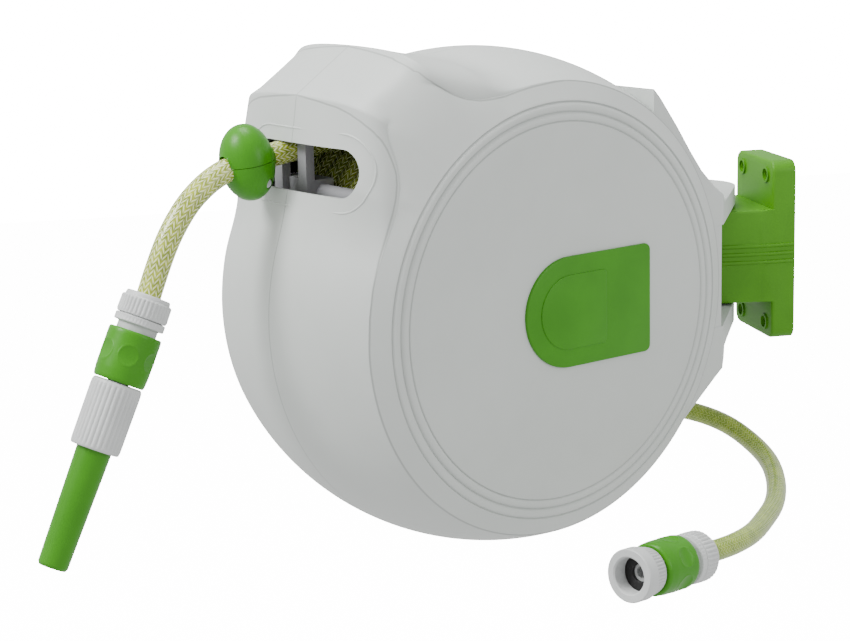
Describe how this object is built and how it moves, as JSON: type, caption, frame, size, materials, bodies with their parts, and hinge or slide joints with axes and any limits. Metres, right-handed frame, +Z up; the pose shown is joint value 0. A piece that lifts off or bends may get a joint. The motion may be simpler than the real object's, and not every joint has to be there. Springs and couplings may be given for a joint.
{
  "type": "wall-mounted retractable garden hose reel",
  "caption": "Wall-swivelling automatic hose reel: round two-shell housing with a hose window in its snout, wound hose with stop and nozzle, and an inlet hose with a tap connector.",
  "frame": {"origin": "centre of the wall bracket's back face, in the wall's plane", "axes": "+Z up, +Y into the wall, the reel stands out towards -Y; the housing rests swivelled by 24 degrees about the vertical pivot pin"},
  "size_m": [0.4184, 0.6157, 0.3754],
  "materials": {
    "housing_grey": "fine moulded texture, pale grey",
    "bracket_green": "satin green glass-filled nylon",
    "fitting_green": "semi-gloss green",
    "fitting_grey": "satin light grey",
    "braided_hose": "clear yellow-green PVC over white knitted braid",
    "dark_plastic": "moulded internal nylon",
    "mid_grey_plastic": "moulded acetal, mid grey",
    "zinc_steel": "zinc plated",
    "spring_steel": "blued spring strip",
    "black_rubber": "moulded nitrile"
  },
  "bodies": {
    "bracket": {"wall_bracket": "bracket_green", "pivot_pin": "zinc_steel", "pin_clip": "zinc_steel"},
    "housing": {"gear_side_shell": "housing_grey", "plain_side_shell": "housing_grey", "shell_screws": "zinc_steel", "side_badge": "fitting_green", "spring_arbor": "mid_grey_plastic", "hollow_axle": "mid_grey_plastic", "feed_pipe": "dark_plastic", "inlet_gland": "dark_plastic", "idler_post": "zinc_steel", "guide_rod": "zinc_steel", "guide_end_plain_side": "mid_grey_plastic", "guide_end_gear_side": "mid_grey_plastic", "pawl_post": "zinc_steel", "inlet_hose": "braided_hose", "inlet_nut": "fitting_grey", "inlet_connector_body": "fitting_grey", "inlet_seal": "black_rubber", "tap_adapter": "fitting_grey", "tap_washer": "black_rubber"},
    "spool": {"spool_core": "dark_plastic", "flange_plain_side": "dark_plastic", "flange_gear_side": "dark_plastic", "wound_hose": "braided_hose", "rotary_coupling": "dark_plastic", "seal_rings": "black_rubber", "main_spring": "spring_steel", "spring_cover": "dark_plastic", "drive_gear": "mid_grey_plastic", "ratchet_wheel": "mid_grey_plastic"},
    "idler": {"idler_gear": "mid_grey_plastic"},
    "level_screw": {"reversing_screw": "mid_grey_plastic", "screw_gear": "mid_grey_plastic"},
    "carriage": {"guide_carriage": "mid_grey_plastic", "delivery_hose": "braided_hose", "stop_upper_half": "fitting_green", "stop_lower_half": "fitting_green", "stop_screw": "zinc_steel", "outlet_nut": "fitting_grey", "outlet_connector_body": "fitting_grey", "outlet_seal": "black_rubber", "nozzle_sleeve": "fitting_grey"},
    "outlet_lock": {"outlet_collar": "fitting_green"},
    "nozzle_tip": {"nozzle_barrel": "fitting_green"},
    "inlet_lock": {"inlet_collar": "fitting_green"},
    "pawl": {"ratchet_pawl": "mid_grey_plastic"}
  },
  "joints": [
    {"name": "housing_swivel", "type": "hinge", "parent": "bracket", "child": "housing", "pos_m": [0, -0.073, 0], "axis": [0, 0, 1], "range_deg": [-89, 40]},
    {"name": "spool_spin", "type": "hinge", "parent": "housing", "child": "spool", "pos_m": [0.09238, -0.27816, -0.005], "axis": [0.9118, 0.4106, 0], "range_deg": [0, 1275], "stiffness_Nm_per_rad": 0.02, "springref_deg": -859.44},
    {"name": "idler_spin", "type": "hinge", "parent": "housing", "child": "idler", "pos_m": [0.20188, -0.33138, 0.04528], "axis": [0.9118, 0.4106, 0], "range_deg": [-1673.04, 10]},
    {"name": "screw_spin", "type": "hinge", "parent": "housing", "child": "level_screw", "pos_m": [0.1478, -0.40126, 0.086], "axis": [0.9118, 0.4106, 0], "range_deg": [-10, 6385]},
    {"name": "guide_slide", "type": "slide", "parent": "housing", "child": "carriage", "axis": [0.9118, 0.4106, 0], "range_m": [-0.001, 0.0625]},
    {"name": "pawl_swing", "type": "hinge", "parent": "housing", "child": "pawl", "pos_m": [0.14096, -0.18391, -0.031], "axis": [0.9118, 0.4106, 0], "range_deg": [0, 12], "stiffness_Nm_per_rad": 0.02, "springref_deg": -17.19},
    {"name": "outlet_collar_slide", "type": "slide", "parent": "carriage", "child": "outlet_lock", "axis": [-0.1802, 0.4001, 0.8986], "range_m": [0, 0.004], "stiffness_N_per_m": 600, "springref_m": -0.002},
    {"name": "nozzle_twist", "type": "hinge", "parent": "carriage", "child": "nozzle_tip", "pos_m": [0.20372, -0.5693, -0.06186], "axis": [0.1802, -0.4001, -0.8986], "range_deg": [0, 270]},
    {"name": "inlet_collar_slide", "type": "slide", "parent": "housing", "child": "inlet_lock", "axis": [-0.5466, 0.8341, -0.0741], "range_m": [0, 0.004], "stiffness_N_per_m": 600, "springref_m": -0.002}
  ],
  "couplings": [
    {"joint": "idler_spin", "follows": "spool_spin", "ratio": -1.3043},
    {"joint": "screw_spin", "follows": "spool_spin", "ratio": 5},
    {"joint": "guide_slide", "follows": "spool_spin", "m_per_rad": 0.0027852}
  ]
}
